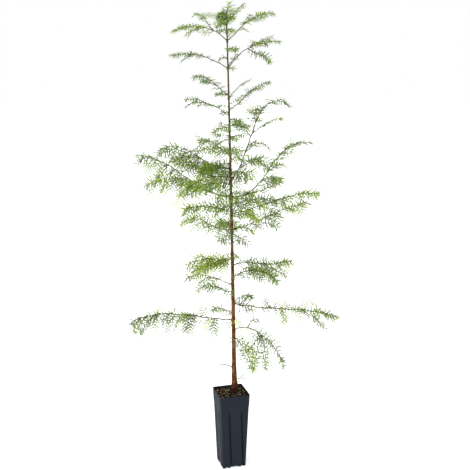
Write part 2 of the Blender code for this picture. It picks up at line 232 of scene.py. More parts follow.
BOUGHS = (
    Bough("trunk", 1425, 30, (47, 48, 22), 88, 0, 15, tone=0.2, name="tip"),
    Bough("trunk", 1412, 160, (85, 19, -8), 95, 0, 9, name="tip_left"),
    Bough("trunk", 1374, 168, (47, 9, -23), 185, 62, 16, tone=0.1, name="tier12_left"),
    Bough("tier12_left", 52, 134, (32, 40, -40), 115, 0, 11, name="tier12_left_fork"),
    Bough("trunk", 1374, 14, (40, 37, -12), 170, 45, 20, name="tier12_right"),
    Bough("trunk", 1293, 196, (33, 13, -17), 185, 50, 15, name="tier11_left"),
    Bough("trunk", 1293, -22, (56, 26, -9), 190, 95, 12, tone=0.15, name="tier11_right"),
    Bough("tier11_right", 88, -44, (-30, -20, -50), 98, 0, 18, name="tier11_right_fork"),
    Bough("trunk", 1214, 138, (21, 29, -27), 165, 0, 17, name="tier10_left"),
    Bough("trunk", 1202, 62, (42, 18, 17), 165, 0, 9, name="tier10_right"),
    Bough("trunk", 1153, 212, (29, 17, -36), 165, 0, 20, name="tier9_left"),
    Bough("trunk", 1168, 30, (29, 37, 1), 170, 0, 18, name="tier9_right"),
    Bough("trunk", 1113, 245, (17, -6, -19), 120, 0, 20, name="tier8_left"),
    Bough("trunk", 1120, -56, (29, -8, 15), 100, 0, 20, name="tier8_right"),
    Bough("trunk", 954, 28, (42, 67, 63), 171, 171, name="steep_right"),
    Bough("steep_right", 171, 15, (74, 39, -57), 175, 0, 26, name="steep_right_tip"),
    Bough("steep_right", 160, -28, (36, 30, -3), 115, 0, 20, name="steep_right_front"),
    Bough("steep_right", 150, 120, (46, 22, 8), 130, 0, 25, name="steep_right_inner"),
    Bough("steep_right", 55, -40, (33, 5, -80), 118, 0, 28, name="steep_right_side"),
    Bough("trunk", 901, -14, (-5, 57, -14), 320, 150, 28, name="tier7_right"),
    Bough("trunk", 904, 176, (-4, 36, -5), 330, 108, 23, 0.9, tone=-0.1, name="tier7_left"),
    Bough("tier7_left", 86, 217, (34, 14, -28), 195, 0, 12, 0.7, name="tier7_left_front"),
    Bough("trunk", 940, 228, (14, 0, -25), 175, 0, 25, 0.5, tone=-0.1, name="tier7_front"),
    Bough("trunk", 935, 98, (15, 8, -20), 205, 0, 32, name="tier7_back"),
    Bough("trunk", 992, 160, (-11, 28, -44), 264, 50, 27, 0.9, name="tier8_left_long"),
    Bough("trunk", 1032, 122, (11, 15, -25), 195, 0, 32, name="tier8_back"),
    Bough("trunk", 847, 28, (5, 12, -11), 335, 55, 22, 0.4, tone=0.15, name="tier6_right"),
    Bough("trunk", 838, -62, (20, 8, -20), 175, 0, 10, name="tier6_front"),
    Bough("trunk", 868, 72, (15, 10, -15), 185, 0, 24, name="tier6_back"),
    Bough("trunk", 853, 228, (22, 11, -5), 205, 0, 13, name="tier6_left"),
    Bough("trunk", 794, 4, (17, 23, 15), 248, 60, 30, 0.4, name="tier5_right"),
    Bough("trunk", 797, 170, (-16, 24, -46), 167, 0, 21, tone=0.25, name="tier5_left"),
    Bough("trunk", 800, 98, (5, -5, -25), 200, 0, 24, name="tier5_back"),
    Bough("trunk", 708, 198, (-14, 3, -31), 154, 0, 38, 0.9, tone=0.55, name="tier4_left"),
    Bough("trunk", 681, -12, (25, -1, 23), 176, 0, 21, name="tier4_right"),
    Bough("trunk", 705, 85, (0, -12, -30), 190, 0, 8, name="tier4_back"),
    Bough("trunk", 642, -38, (34, 8, -39), 187, 0, 24, 0.5, tone=-0.15, name="tier3_right"),
    Bough("trunk", 616, 152, (10, 6, -43), 183, 0, 18, tone=-0.1, name="tier3_left"),
    Bough("trunk", 593, 232, (11, 24, -25), 182, 0, 14, tone=-0.2, name="tier3_front"),
    Bough("trunk", 556, -6, (-14, -1, -21), 348, 90, 28, 0.5, name="tier2_right"),
    Bough("trunk", 560, 60, (10, -5, -25), 125, 0, 13, name="tier2_back"),
    Bough("trunk", 499, 184, (2, 6, -33), 345, 60, 30, 1.1, name="tier1_left"),
    Bough("trunk", 440, -66, (5, -22, -42), 175, 0, 16, 0.4, name="tier1_front"),
    Bough("trunk", 520, 120, (0, -8, -30), 150, 0, 13, name="tier1_back"),
    Bough("trunk", 462, -36, (44, -24, -46), 225, 68, 16, 0.5, name="tier1_right"),
)

# Smaller shoots that grow on from the boughs and the trunk
SHOOTS = (
    # The bush round the tip of the trunk
    Bough("trunk", 1455, 50, (60, 65, 72), 34, 4, 14),
    Bough("trunk", 1440, 170, (60, 70, 75), 34, 4, 11),
    Bough("tip_left", 8, 200, (70, -10, -40), 24, 3, 12),
    Bough("trunk", 1424, 40, (40, 60, 80), 36, 4, 27),
    Bough("trunk", 1400, 200, (65, 10, -60), 25, 4, 16),
    Bough("trunk", 1414, -90, (60, 20, -20), 28, 3, 22),
    Bough("trunk", 1425, 90, (50, 40, 20), 32, 3, 16),
    Bough("trunk", 1450, 240, (40, 0, -30), 24, 3, 12),
    Bough("trunk", 1452, 195, (20, 0, -30), 20, 3, 11),
    Bough("trunk", 1440, -60, (30, 0, -30), 24, 3, 12),
    Bough("trunk", 1444, 175, (10, 0, -20), 22, 3, 13),
    Bough("trunk", 1436, -120, (10, 0, -20), 24, 3, 13),
    # Tier 12
    Bough("trunk", 1400, 80, (35, 10, -10), 50, 5, 10),
    Bough("trunk", 1345, -70, (20, 0, -15), 60, 6, 12),
    Bough("tier12_left", 96, 190, (-50, -15, -65), 48, 4, 14, tone=0.3),
    Bough("tier12_left", 52, 185, (-35, -10, 20), 35, 8, 8),
    Bough("tier12_left", 40, 150, (85, 80, 75), 24, 3, 9),
    Bough("tier12_right", 68, -10, (70, 55, 35), 36, 4, 12),
    Bough("trunk", 1383, 50, (35, 40, 10), 40, 4, 9),
    # Tier 11
    Bough("tier11_right", 120, 10, (40, 20, 0), 52, 6, 6),
    Bough("tier11_right", 98, -60, (65, 5, -15), 46, 4, 13, tone=0.3),
    Bough("tier11_right", 104, -30, (20, 5, -10), 50, 4, 12),
    Bough("trunk", 1300, 50, (35, 45, 5), 60, 14, 14),
    Bough("trunk", 1345, 0, (45, 10, -35), 35, 5, 13),
    Bough("tier11_left", 110, 205, (-35, -15, -60), 55, 5, 8),
    Bough("trunk", 1320, 190, (45, -5, -75), 30, 5, 13),
    Bough("trunk", 1290, -60, (40, 10, -20), 26, 3, 10),
    # Tiers 10 and 9
    Bough("trunk", 1213, 200, (20, 5, -20), 40, 6, 10),
    Bough("tier10_left", 60, 185, (10, 20, -20), 48, 5, 14),
    Bough("trunk", 1186, 20, (40, 20, 0), 36, 4, 12),
    Bough("trunk", 1178, 205, (35, 0, -40), 34, 4, 12),
    Bough("tier9_left", 90, 190, (30, 10, -30), 68, 6, 12),
    Bough("tier9_right", 90, -20, (35, 15, 5), 48, 5, 9),
    Bough("trunk", 1160, 190, (20, 0, -30), 30, 3, 14),
    Bough("trunk", 1140, 20, (15, -10, -40), 34, 3, 14),
    Bough("trunk", 1120, 170, (30, 10, -20), 36, 3, 16),
    # The steep right bough
    Bough("steep_right_tip", 26, 110, (60, 45, 20), 60, 4, 28),
    Bough("steep_right_tip", 28, 60, (85, 80, 70), 56, 4, 20),
    Bough("steep_right_tip", 50, -70, (50, 40, 20), 42, 4, 18),
    Bough("steep_right", 100, 10, (65, 45, 20), 48, 4, 22),
    Bough("steep_right", 95, -15, (55, 17, -54), 96, 8, 15),
    Bough("steep_right", 45, -30, (35, 20, -20), 85, 8, 13),
    Bough("steep_right", 30, -60, (15, -5, -30), 92, 8, 18),
    # Tufts round the trunk above the core
    Bough("trunk", 1088, 170, (25, 5, -20), 45, 5, 17),
    Bough("trunk", 1085, 20, (25, 5, -20), 50, 5, 17),
    Bough("trunk", 1082, -80, (20, 0, -20), 50, 5, 17),
    Bough("trunk", 1086, 100, (45, 40, 20), 40, 5, 16),
    Bough("trunk", 1080, 200, (5, -35, -40), 78, 26, 14),
    Bough("trunk", 1028, 10, (60, 15, -50), 34, 4, 20),
    Bough("trunk", 1035, 190, (40, 10, -20), 42, 4, 17),
    Bough("trunk", 1045, -80, (30, 0, -30), 46, 3, 20),
    Bough("trunk", 1018, 25, (20, 0, -30), 40, 3, 18),
    # Tier 7, right
    Bough("tier7_right", 115, -40, (24, 13, -44), 86, 6, 12),
    Bough("tier7_right", 110, -30, (25, 10, -15), 66, 6, 12),
    Bough("tier7_right", 58, -25, (0, 25, 25), 110, 12, 16),
    Bough("tier7_right", 90, -10, (10, 20, 10), 78, 6, 18),
    Bough("tier7_right", 145, 10, (40, 30, 10), 56, 5, 12),
    Bough("tier7_right", 210, -40, (35, 20, 0), 50, 4, 12),
    Bough("tier7_right", 235, 20, (85, 50, 65), 46, 5, 6),
    # Tiers 7 and 8, left
    Bough("tier7_left", 286, 190, (-25, -20, -20), 34, 3, 18, tone=-0.1),
    Bough("tier7_left", 225, 200, (-65, -40, -35), 95, 4, 22, tone=-0.1),
    Bough("tier7_left", 205, 215, (-70, -55, -40), 85, 4, 12, tone=-0.1),
    Bough("tier7_left", 175, 50, (35, 5, -20), 85, 6, 13),
    Bough("tier8_left_long", 145, 60, (15, 15, 20), 60, 6, 15),
    Bough("tier8_left_long", 97, 178, (15, 0, -35), 92, 4, 24),
    Bough("tier8_left_long", 84, 205, (-25, 10, -35), 100, 4, 20),
    # The core of the crown, round the trunk
    Bough("trunk", 962, 205, (15, -15, -45), 185, 62, 16, 0.5, name="big_feather"),
    Bough("trunk", 925, 215, (5, -25, -50), 68, 12, 22, tone=0.3),
    Bough("trunk", 1004, 190, (20, -5, -30), 40, 4, 26, tone=-0.35),
    Bough("trunk", 982, 165, (45, 0, -45), 84, 6, 32, tone=-0.1),
    Bough("trunk", 988, 200, (10, -5, -20), 112, 3, 16),
    Bough("trunk", 976, 150, (20, 5, -25), 122, 3, 22),
    Bough("tier7_left", 62, 160, (30, 10, -25), 86, 3, 22),
    Bough("trunk", 952, 205, (20, -15, -50), 104, 6, 14),
    Bough("trunk", 958, -15, (25, 0, -30), 46, 5, 15),
    Bough("trunk", 896, -30, (10, -10, -30), 122, 6, 14, tone=0.1),
    Bough("trunk", 876, 15, (15, 5, -25), 152, 6, 18, tone=-0.1, name="core_right_back"),
    Bough("trunk", 856, -25, (10, -5, -50), 70, 6, 10),
    Bough("trunk", 908, -100, (20, -10, -30), 50, 3, 20),
    Bough("trunk", 868, 215, (20, -5, -30), 52, 3, 18),
    # Tier 6
    Bough("tier6_left", 158, 215, (5, -10, -30), 52, 5, 13),
    Bough("tier6_right", 180, -10, (-20, -60, -80), 40, 3, 18),
    Bough("tier6_right", 250, 45, (20, 10, 0), 46, 5, 6),
    # Tier 5
    Bough("tier5_left", 100, 150, (45, 15, -45), 52, 8, 9),
    Bough("tier5_left", 60, 200, (10, -10, -30), 36, 3, 13),
    Bough("tier5_right", 85, -35, (-16, -4, -20), 72, 8, 12),
    Bough("tier5_right", 120, 30, (30, 10, -10), 42, 3, 18),
    Bough("trunk", 797, -30, (30, 0, -25), 78, 6, 14, tone=0.2),
    Bough("trunk", 788, -50, (-10, -20, -35), 74, 8, 12, tone=-0.35),
    Bough("trunk", 790, 250, (5, -15, -40), 80, 6, 14, tone=-0.25),
    Bough("trunk", 812, 200, (-40, -70, -80), 36, 5, 6),
    # Tier 4
    Bough("tier4_left", 62, 190, (-50, -25, -20), 84, 8, 13, tone=0.2),
    Bough("tier4_left", 28, -95, (-70, -80, -85), 44, 3, 5, tone=0.3),
    Bough("tier4_left", 75, -100, (-50, -70, -85), 36, 3, 5),
    Bough("tier4_left", 20, 215, (0, -12, -32), 62, 4, 38, tone=0.35),
    Bough("trunk", 702, 215, (-5, -10, -30), 62, 4, 17),
    Bough("tier4_left", 80, 170, (30, 5, -20), 40, 3, 14, tone=0.6),
    Bough("tier4_right", 92, -30, (-35, -10, -45), 105, 8, 11, tone=-0.2),
    Bough("tier4_right", 105, -55, (-50, -65, -80), 58, 5, 20),
    Bough("tier4_right", 40, 30, (15, 10, -5), 48, 8, 8),
    Bough("tier4_right", 145, 0, (15, 10, -20), 46, 4, 16, tone=0.1),
    Bough("trunk", 712, 150, (30, 20, 0), 24, 5, 6),
    Bough("trunk", 705, 30, (15, 10, -20), 26, 5, 6),
    # Tier 3
    Bough("tier3_right", 32, 0, (60, 40, -10), 38, 4, 12),
    Bough("tier3_right", 70, -25, (-15, -30, -50), 46, 10, 5),
    Bough("tier3_right", 78, -20, (20, 5, -15), 50, 6, 11),
    Bough("tier3_left", 80, 195, (0, -35, -75), 68, 6, 9),
    Bough("tier3_left", 60, 200, (-30, -45, -60), 26, 4, 9),
    # Tier 2
    Bough("tier2_right", 8, -40, (-10, -5, -15), 68, 5, 18),
    Bough("tier2_right", 22, 45, (35, 20, 0), 58, 4, 17),
    Bough("tier2_right", 125, 170, (40, 50, 60), 34, 4, 14),
    Bough("tier2_right", 135, 30, (80, 80, 80), 20, 3, 7),
    Bough("tier2_right", 160, -70, (-50, -80, -88), 52, 3, 5),
    Bough("tier2_right", 205, 25, (25, 15, -25), 72, 12, 7),
    Bough("tier2_right", 222, -30, (-25, -28, -45), 100, 6, 11),
    Bough("tier2_right", 285, -30, (10, -30, -60), 42, 4, 16),
    # Tier 1, left
    Bough("tier1_left", 212, -100, (-45, -75, -88), 56, 3, 5),
    Bough("tier1_left", 142, -80, (-45, -80, -88), 58, 3, 5),
    Bough("tier1_left", 52, -120, (-30, -65, -80), 48, 5, 5),
    Bough("tier1_left", 300, 215, (-30, -60, -85), 50, 3, 11, tone=0.2),
    Bough("tier1_left", 150, -110, (-40, -75, -85), 54, 3, 5),
    Bough("tier1_left", 62, -90, (-35, -70, -85), 50, 3, 5),
    Bough("tier1_left", 146, 205, (-35, -70, -85), 52, 3, 5),
    Bough("tier1_left", 68, 190, (-30, -65, -80), 44, 3, 5),
    Bough("tier1_left", 122, 220, (15, 5, -45), 58, 4, 16),
    Bough("tier1_left", 205, 30, (30, 40, 45), 34, 3, 6),
    Bough("tier1_left", 258, 30, (30, 45, 60), 33, 3, 6),
    Bough("tier1_left", 85, 120, (30, 30, 20), 42, 4, 9),
    Bough("tier1_left", 240, 195, (-5, -50, -45), 88, 5, 24, tone=0.1),
    Bough("tier1_left", 278, 205, (-20, -55, -70), 62, 4, 15),
    Bough("tier1_left", 255, -95, (-40, -70, -85), 46, 3, 5),
    Bough("tier1_left", 312, 190, (-40, -65, -75), 46, 3, 9),
    # Tier 1, right
    Bough("tier1_right", 58, 20, (50, 40, -30), 46, 4, 12),
    Bough("tier1_right", 100, -60, (-45, -45, -55), 56, 5, 9),
    Bough("tier1_right", 118, 215, (-40, -35, -30), 74, 6, 11),
    Bough("tier1_right", 118, -125, (-45, -70, -80), 118, 14, 13),
    Bough("tier1_right", 122, -70, (-60, -75, -85), 108, 12, 11),
    Bough("tier1_right", 205, -50, (-50, -60, -80), 40, 14, 10),
    # Low on the trunk, with the dead twig last
    Bough("trunk", 505, -30, (-10, -40, -60), 44, 4, 9),
    Bough("trunk", 500, 200, (-20, -50, -70), 30, 4, 7),
    Bough("trunk", 415, -40, (10, -10, -80), 50, 18, 6),
    Bough("trunk", 292, -20, (12, 39, -2), 24, 6, 6),
    Bough("trunk", 339, 182, (-5, 20, -10), 49, 49),
)

# Rows of feathers that hang under a bough: its name, their first and last place on it,
# how many there are, their heading and their length
HANGING = (
    ("tier7_left", 150, 275, 6, 240, 50),
    ("tier8_left_long", 50, 250, 8, 235, 46),
    ("tier7_left_front", 60, 185, 5, 240, 42),
    ("big_feather", 60, 178, 4, 238, 44),
    ("tier6_left", 20, 195, 5, 236, 38),
    ("tier5_left", 40, 120, 2, 250, 30),
    ("tier4_left", 20, 120, 5, 245, 34),
    ("core_right_back", 20, 145, 4, -60, 40),
    ("tier6_right", 70, 250, 4, -62, 36),
    ("tier4_right", 60, 170, 3, -70, 34),
    ("tier5_right", 80, 235, 3, -65, 30),
    ("tier1_left", 128, 230, 3, 238, 48),
    ("tier2_right", 150, 200, 2, -60, 42),
)

# Tints of the needles, the darker and the lighter colour of each
TINTS = {
    "dull": ("#6a7550", "#808a64"),
    "deep": ("#43623a", "#557441"),
    "shade": ("#567434", "#69863c"),
    "green": ("#6e893c", "#819b47"),
    "fresh": ("#839b3b", "#96ad48"),
    "bright": ("#9bb034", "#aec248"),
}


class Look(NamedTuple):
    """How the foliage of a part of the crown grows."""
    reach: float         # longest branchlet for each millimetre of half width
    gap: float           # distance between pairs of branchlets
    needle: float        # length of the longest needles
    spacing: float       # distance between the needles of a row
    spread: float        # how far, in degrees, branchlets turn round their bough
    tilt: float          # how far, in degrees, their flat of needles stands on edge
    tints: tuple         # shares of the tints, in the order of TINTS


# The parts of the crown from the top down, each with its lowest height
LOOKS = (
    (1395, Look(1.9, 13.0, 17.5, 7.0, 24, 56, (0.08, 0.0, 0.15, 0.37, 0.26, 0.14))),
    (1060, Look(1.5, 16.0, 17.0, 7.0, 24, 58, (0.3, 0.06, 0.2, 0.28, 0.12, 0.04))),
    (740, Look(2.2, 20.0, 27.0, 9.0, 22, 66, (0.05, 0.03, 0.14, 0.38, 0.27, 0.13))),
    (575, Look(2.0, 18.0, 25.0, 8.8, 22, 66, (0.10, 0.02, 0.14, 0.34, 0.24, 0.16))),
    (0, Look(1.9, 18.0, 24.0, 9.2, 24, 62, (0.4, 0.0, 0.15, 0.28, 0.14, 0.03))),
)


def look_at(height):
    """How the foliage at a height grows."""
    return next(look for lowest, look in LOOKS if height > lowest)


def unit(vectors):
    return vectors / np.linalg.norm(vectors, axis=-1, keepdims=True)


def square_to(axis, vectors):
    """Vectors leant until they stand square to an axis."""
    return unit(vectors - (vectors * axis).sum(-1, keepdims=True) * axis)


def spokes(sides, aside, upward):
    """Directions evenly round an axis, from two that stand square to it."""
    angle = np.linspace(0, ROUND, sides, endpoint=False)[:, None]
    return np.cos(angle) * aside[..., None, :] + np.sin(angle) * upward[..., None, :]


def turned(points, angle):
    """Points turned about the upright axis."""
    points = np.asarray(points, float)
    turn = np.eye(points.shape[-1])
    turn[:2, :2] = ((math.cos(angle), math.sin(angle)), (-math.sin(angle), math.cos(angle)))
    return points @ turn


def place(points):
    """Crown millimetres to the frame's metres."""
    return turned(points, CROWN_TURN) * MM


def hump(distance, width):
    """1 at the middle of a smooth bump, and next to nothing two widths away."""
    return np.exp(-(distance / width) ** 2)


def angle_between(heading, other):
    """The turn between two headings, the short way round."""
    return np.angle(np.exp(1j * (heading - other)))


def split_quads(a, b, c, d):
    """Two triangles for every face with four corners."""
    return np.concatenate([np.stack([a, b, c], -1), np.stack([a, c, d], -1)]).reshape(-1, 3)


def ring_faces(rings, sides):
    """Triangles of a grid of closed rings."""
    ring, side = np.meshgrid(np.arange(rings - 1), np.arange(sides), indexing="ij")
    a = ring * sides + side
    b = ring * sides + (side + 1) % sides
    return split_quads(a, b, b + sides, a + sides)


def fan_faces(centre, first, sides):
    """Triangles from a middle point to a ring."""
    side = np.arange(sides)
    return np.stack([np.full(sides, centre), first + (side + 1) % sides, first + side], -1)


def tube_faces(rings, sides):
    """Triangles of a closed tube: its rings, then the middle points of its two ends."""
    size = rings * sides
    far_end = fan_faces(size + 1, size - sides, sides)[:, ::-1]
    return np.concatenate([ring_faces(rings, sides), fan_faces(size, 0, sides), far_end])


class Mesh:
    """Points and triangles of one piece while it is made."""

    def __init__(self):
        self.points = []
        self.faces = []
        self.count = 0

    def add(self, points, faces):
        self.points.append(np.asarray(points, float).reshape(-1, 3))
        self.faces.append(np.asarray(faces).reshape(-1, 3) + self.count)
        self.count += len(self.points[-1])

    def add_each(self, points, faces):
        """Many copies of one shape, each with points of its own."""
        shift = np.arange(len(points)) * (points[0].size // 3)
        self.add(points, faces + shift[:, None, None])

    def piece(self, name, material, slot, replaced, smooth=True, in_crown=True):
        """The finished piece, riding on the plant's one body."""
        points = np.concatenate(self.points)
        faces = np.concatenate(self.faces)
        points = place(points) if in_crown else points * MM
        mesh = bpy.data.meshes.new(name)
        mesh.vertices.add(len(points))
        mesh.vertices.foreach_set("co", points.ravel())
        mesh.loops.add(faces.size)
        mesh.loops.foreach_set("vertex_index", faces.ravel().astype(np.int32))
        mesh.polygons.add(len(faces))
        mesh.polygons.foreach_set("loop_start", np.arange(0, faces.size, 3, dtype=np.int32))
        mesh.update(calc_edges=True)
        if smooth:
            mesh.shade_smooth()
        mesh.materials.append(material)
        thing = bpy.data.objects.new(name, mesh)
        bpy.context.scene.collection.objects.link(thing)
        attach(thing, "root")
        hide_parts(*replaced)
        return thing


def trunk_share(height):
    """How far up the trunk a height is, from 0 at its foot to 1 at its tip."""
    return (np.asarray(height, float) - TRUNK_FOOT) / (TRUNK_TIP - TRUNK_FOOT)


def trunk_axis(height):
    t = trunk_share(height)
    bow = 4.0 * TRUNK_BOW * t * (1.0 - t)
    return np.stack([TRUNK_START + TRUNK_LEAN * t + bow, np.zeros_like(t), height], -1)


def rise_at(rises, t):
    """A bough's slope at a share of its length, from its slopes at foot, middle and tip."""
    foot, middle, tip = rises
    return foot * (1 - t) * (1 - 2 * t) + 4 * middle * t * (1 - t) + tip * t * (2 * t - 1)


def waves_along(waves, along, starts):
    """Waves of several sizes and lengths added up."""
    return sum(size * np.sin(along / span + start) for (size, span), start in zip(waves, starts))


class Line:
    """A bough's middle line in small steps from its foot, with slight waves of its own."""

    def __init__(self, bough, foot, number):
        self.bough = bough
        self.tone = bough.tone
        steps = max(4, math.ceil(bough.length / LINE_STEP))
        step = bough.length / steps
        rise = np.radians(rise_at(bough.rises, (np.arange(steps) + 0.5) / steps))
        reach = np.concatenate([[0.0], np.cumsum(np.cos(rise))]) * step
        height = np.concatenate([[0.0], np.cumsum(np.sin(rise))]) * step
        heading = math.radians(bough.heading)
        plan = turned(RIGHT, heading)
        self.across = turned(BACK, heading)
        self.along = np.arange(steps + 1) * step
        points = foot + reach[:, None] * plan + height[:, None] * UP
        up = np.cross(unit(np.gradient(points, axis=0)), self.across)
        self.up = up * np.where(up[:, 2:] < 0, -1, 1)
        starts = np.random.default_rng(SEED + number).uniform(0, ROUND, 4)
        sway = waves_along(SWAY, self.along, starts[:2])[:, None] * self.across
        lift = waves_along(LIFT, self.along, starts[2:])[:, None] * self.up
        grows = np.minimum(1.0, self.along / STRAIGHT_FOOT)[:, None]
        self.points = points + grows * (sway + lift)
        self.ahead = unit(np.gradient(self.points, axis=0))

    def read(self, values, along):
        return np.stack([np.interp(along, self.along, values[:, k]) for k in range(3)], -1)

    def point(self, along):
        return self.read(self.points, along)

    def direction(self, along):
        return unit(self.read(self.ahead, along))


def hanging_shoots():
    """The feathers of HANGING, each a little different."""
    random = np.random.default_rng(SEED + 3)
    shoots = []
    for carrier, first, last, count, heading, length in HANGING:
        for middle in np.linspace(first, last, count):
            at = middle + random.uniform(-5, 5)
            fall = random.normal(0, 6)
            rises = tuple(rise + fall for rise in FEATHER_RISES)
            own_heading = heading + random.normal(0, 14)
            own_length = length * random.uniform(0.8, 1.15)
            shoots.append(Bough(carrier, at, own_heading, rises, own_length, 3, 5))
    return tuple(shoots)


def follow_lines():
    """The line of every bough and shoot, carriers first."""
    lines = []
    named = {}
    for number, bough in enumerate(BOUGHS + SHOOTS + hanging_shoots()):
        carrier = named.get(bough.carrier)
        foot = carrier.point(bough.at) if carrier else trunk_axis(bough.at)
        line = Line(bough, foot, number)
        if carrier and bough.half_width < FEATHER:
            line.tone += carrier.bough.tone
        lines.append(line)
        if bough.name:
            named[bough.name] = line
    return lines


def limb_radius(line):
    """Thick at the foot with a collar, thin towards the tip."""
    bough = line.bough
    foot = LIMB_FOOT + LIMB_GROWTH * bough.length
    tip = LIMB_TIP
    if 0 < bough.half_width < FEATHER:
        foot *= FEATHER_STEM
    if bough.bare == bough.length:
        foot *= BARE_STOUT
        tip = BARE_TIP
    taper = 1.0 - (1.0 - tip) * (line.along / bough.length) ** LIMB_TAPER
    return foot * taper + COLLAR * np.exp(-line.along / COLLAR_LENGTH)


def bark_radius(lines, rise, turn):
    """The trunk's radius with flare, fissures, scars, knobs and a swelling under each bough."""
    random = np.random.default_rng(SEED)
    share = np.clip(trunk_share(rise), 0.0, 1.0)
    above = rise - TRUNK_FOOT
    radius = TRUNK_THIN + (TRUNK_THICK - TRUNK_THIN) * (1.0 - share) ** TRUNK_TAPER
    radius += BARK_PROUD + BUTT_SWELL * np.exp(-np.maximum(above, 0) / BUTT_HEIGHT)
    lobes = sum(size * hump(angle_between(turn, at), ROOT_LOBE_HALF) for at, size in ROOT_LOBES)
    radius += FLARE * np.exp(-np.maximum(above, -4) / FLARE_HEIGHT) * (ROUND_SHARE + LOBE_SHARE * lobes)
    depth = FISSURE_DEPTH * (1.0 - FISSURE_FADE * share)
    for count in FISSURES:
        drift = random.uniform(0, ROUND) + 0.9 * np.sin(
            rise / random.uniform(22, 60) + random.uniform(0, 6.3))
        fade = 0.5 + 0.5 * np.sin(rise / random.uniform(15, 45) + random.uniform(0, 6.3) + 2 * turn)
        radius -= depth * 0.5 * fade * np.abs(np.sin(count * turn / 2 + drift)) ** 3
    for scar in np.cumsum(random.uniform(*SCAR_GAP, SCARS)) + TRUNK_FOOT + SCAR_START:
        radius += SCAR_PROUD * hump(rise - scar, SCAR_HALF)
    for _ in range(KNOBS):
        size = random.uniform(0.4, 1.1)
        off = angle_between(turn, random.uniform(0, ROUND))
        height = random.uniform(TRUNK_FOOT, KNOBS_UP_TO)
        radius += size * hump(rise - height, KNOB_HALF) * hump(off, KNOB_ROUND)
    for bough in (line.bough for line in lines):
        if bough.carrier == "trunk":
            off = angle_between(turn, math.radians(bough.heading))
            swell = SWELL + SWELL_GROWTH * bough.length
            radius += swell * hump(rise - bough.at + SWELL_LOW, SWELL_HALF) * hump(off, SWELL_ROUND)
    return radius + random.normal(0, BARK_ROUGH, radius.shape)


def make_trunk(lines, material):
    """The bark of the trunk, from below the top of the potting mix to its tip."""
    heights = np.arange(TRUNK_FOOT - TRUNK_SUNK, TRUNK_TIP, BARK_RING)
    angle = np.linspace(0, ROUND, BARK_SIDES, endpoint=False)
    rise, turn = np.meshgrid(heights, angle, indexing="ij")
    radius = bark_radius(lines, rise, turn)
    axis = trunk_axis(heights)
    rings = axis[:, None] + spokes(BARK_SIDES, RIGHT, BACK) * radius[..., None]
    mesh = Mesh()
    mesh.add(np.concatenate([rings.reshape(-1, 3), axis[:1], trunk_axis(TRUNK_TIP)[None]]),
             tube_faces(len(heights), BARK_SIDES))
    mesh.piece("trunk_bark", material, "bark", ["trunk"])


def make_limbs(lines, material):
    """The bark of every bough, with knots and ridges, on through its foliage to the tip."""
    mesh = Mesh()
    angle = np.linspace(0, ROUND, LIMB_SIDES, endpoint=False)
    for number, line in enumerate(lines):
        random = np.random.default_rng(SEED + 100 + number)
        along = line.along[:, None]
        knots = np.maximum(0, np.sin(along / KNOT_SPAN + random.uniform(0, 6))) ** 4
        ridges = np.sin(3 * angle + along / RIDGE_SPAN)
        rough = random.normal(0, LIMB_ROUGH, (len(along), LIMB_SIDES))
        uneven = (1.0 + LIMB_KNOT * knots) * (1.0 + LIMB_RIDGE * ridges + rough)
        radius = limb_radius(line)[:, None] * uneven
        ahead = line.ahead
        aside = square_to(ahead, line.across)
        rings = line.points[:, None] + spokes(
            LIMB_SIDES, aside, np.cross(aside, ahead)) * radius[..., None]
        tip = line.points[-1:] + ahead[-1:] * LIMB_POINT
        mesh.add(np.concatenate([rings.reshape(-1, 3), line.points[:1], tip]),
                 tube_faces(len(along), LIMB_SIDES)[:, ::-1])
    wooden = [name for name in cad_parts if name.startswith("bough_")]
    mesh.piece("boughs_bark", material, "bark", wooden)


class Branchlets:
    """Every branchlet's start, gathered one by one and then grown all at once."""

    def __init__(self):
        self.rows = []

    def add(self, start, ahead, face, toward, *measures):
        self.rows.append((*start, *ahead, *face, *toward, *measures))

    def grow(self):
        """Bend each one towards the ground and a little towards its bough's tip."""
        rows = np.array(self.rows)
        start, ahead, face, toward = rows[:, :12].reshape(-1, 4, 3).transpose(1, 0, 2)
        self.length, droop, self.needle, self.spacing, tint = rows[:, 12:].T
        self.tint = tint.astype(int)
        points = [start]
        aheads = [ahead]
        faces = [face]
        for joint in range(BRANCHLET_JOINTS):
            pull = (joint + 0.5) / BRANCHLET_JOINTS
            way = unit(ahead - SAG * pull * droop[:, None] * UP + SWEEP * pull * toward)
            face = square_to(way, face)
            points.append(points[-1] + way * (self.length / BRANCHLET_JOINTS)[:, None])
            aheads.append(way)
            faces.append(face)
        self.points = np.stack(points, 1)
        self.ahead = np.stack(aheads, 1)
        self.face = np.stack(faces, 1)


def rolled(vectors, axis, angle):
    """Vectors turned about an axis they stand square to."""
    angle = np.asarray(angle)[..., None]
    return vectors * np.cos(angle) + np.cross(axis, vectors) * np.sin(angle)


def tint_at(look, random, tone, tip):
    """A tint for a spray: fresher where its tip is far from the trunk."""
    reach = math.hypot(tip[0], tip[1]) / CROWN_REACH
    share = 0.5 + TINT_GROWTH * (reach - TINT_MIDDLE) + tone + random.normal(0, TINT_SPREAD)
    return int(np.searchsorted(np.cumsum(look.tints)[:-1], np.clip(share, 0.001, 0.999)))


def kept_inside(point, way, length):
    """A branchlet's length, cut where it would leave the frame's outline."""
    start = place(point)
    reach = place(way * length)
    share = 1.0
    for axis in (0, 1):
        room = abs((cad_box[1] if reach[axis] > 0 else cad_box[0])[axis] - start[axis])
        if abs(reach[axis]) > 1e-6:
            share = min(share, max(LEAST_KEPT, (room - EDGE_KEPT * MM) / abs(reach[axis])))
    return length * share


def fullness(t):
    """Length of the branchlets along a bough: full after a quarter of it, short at its tip."""
    return (0.55 + 0.45 * min(1.0, t / 0.25)) * (1.0 - 0.72 * t ** 2.2)


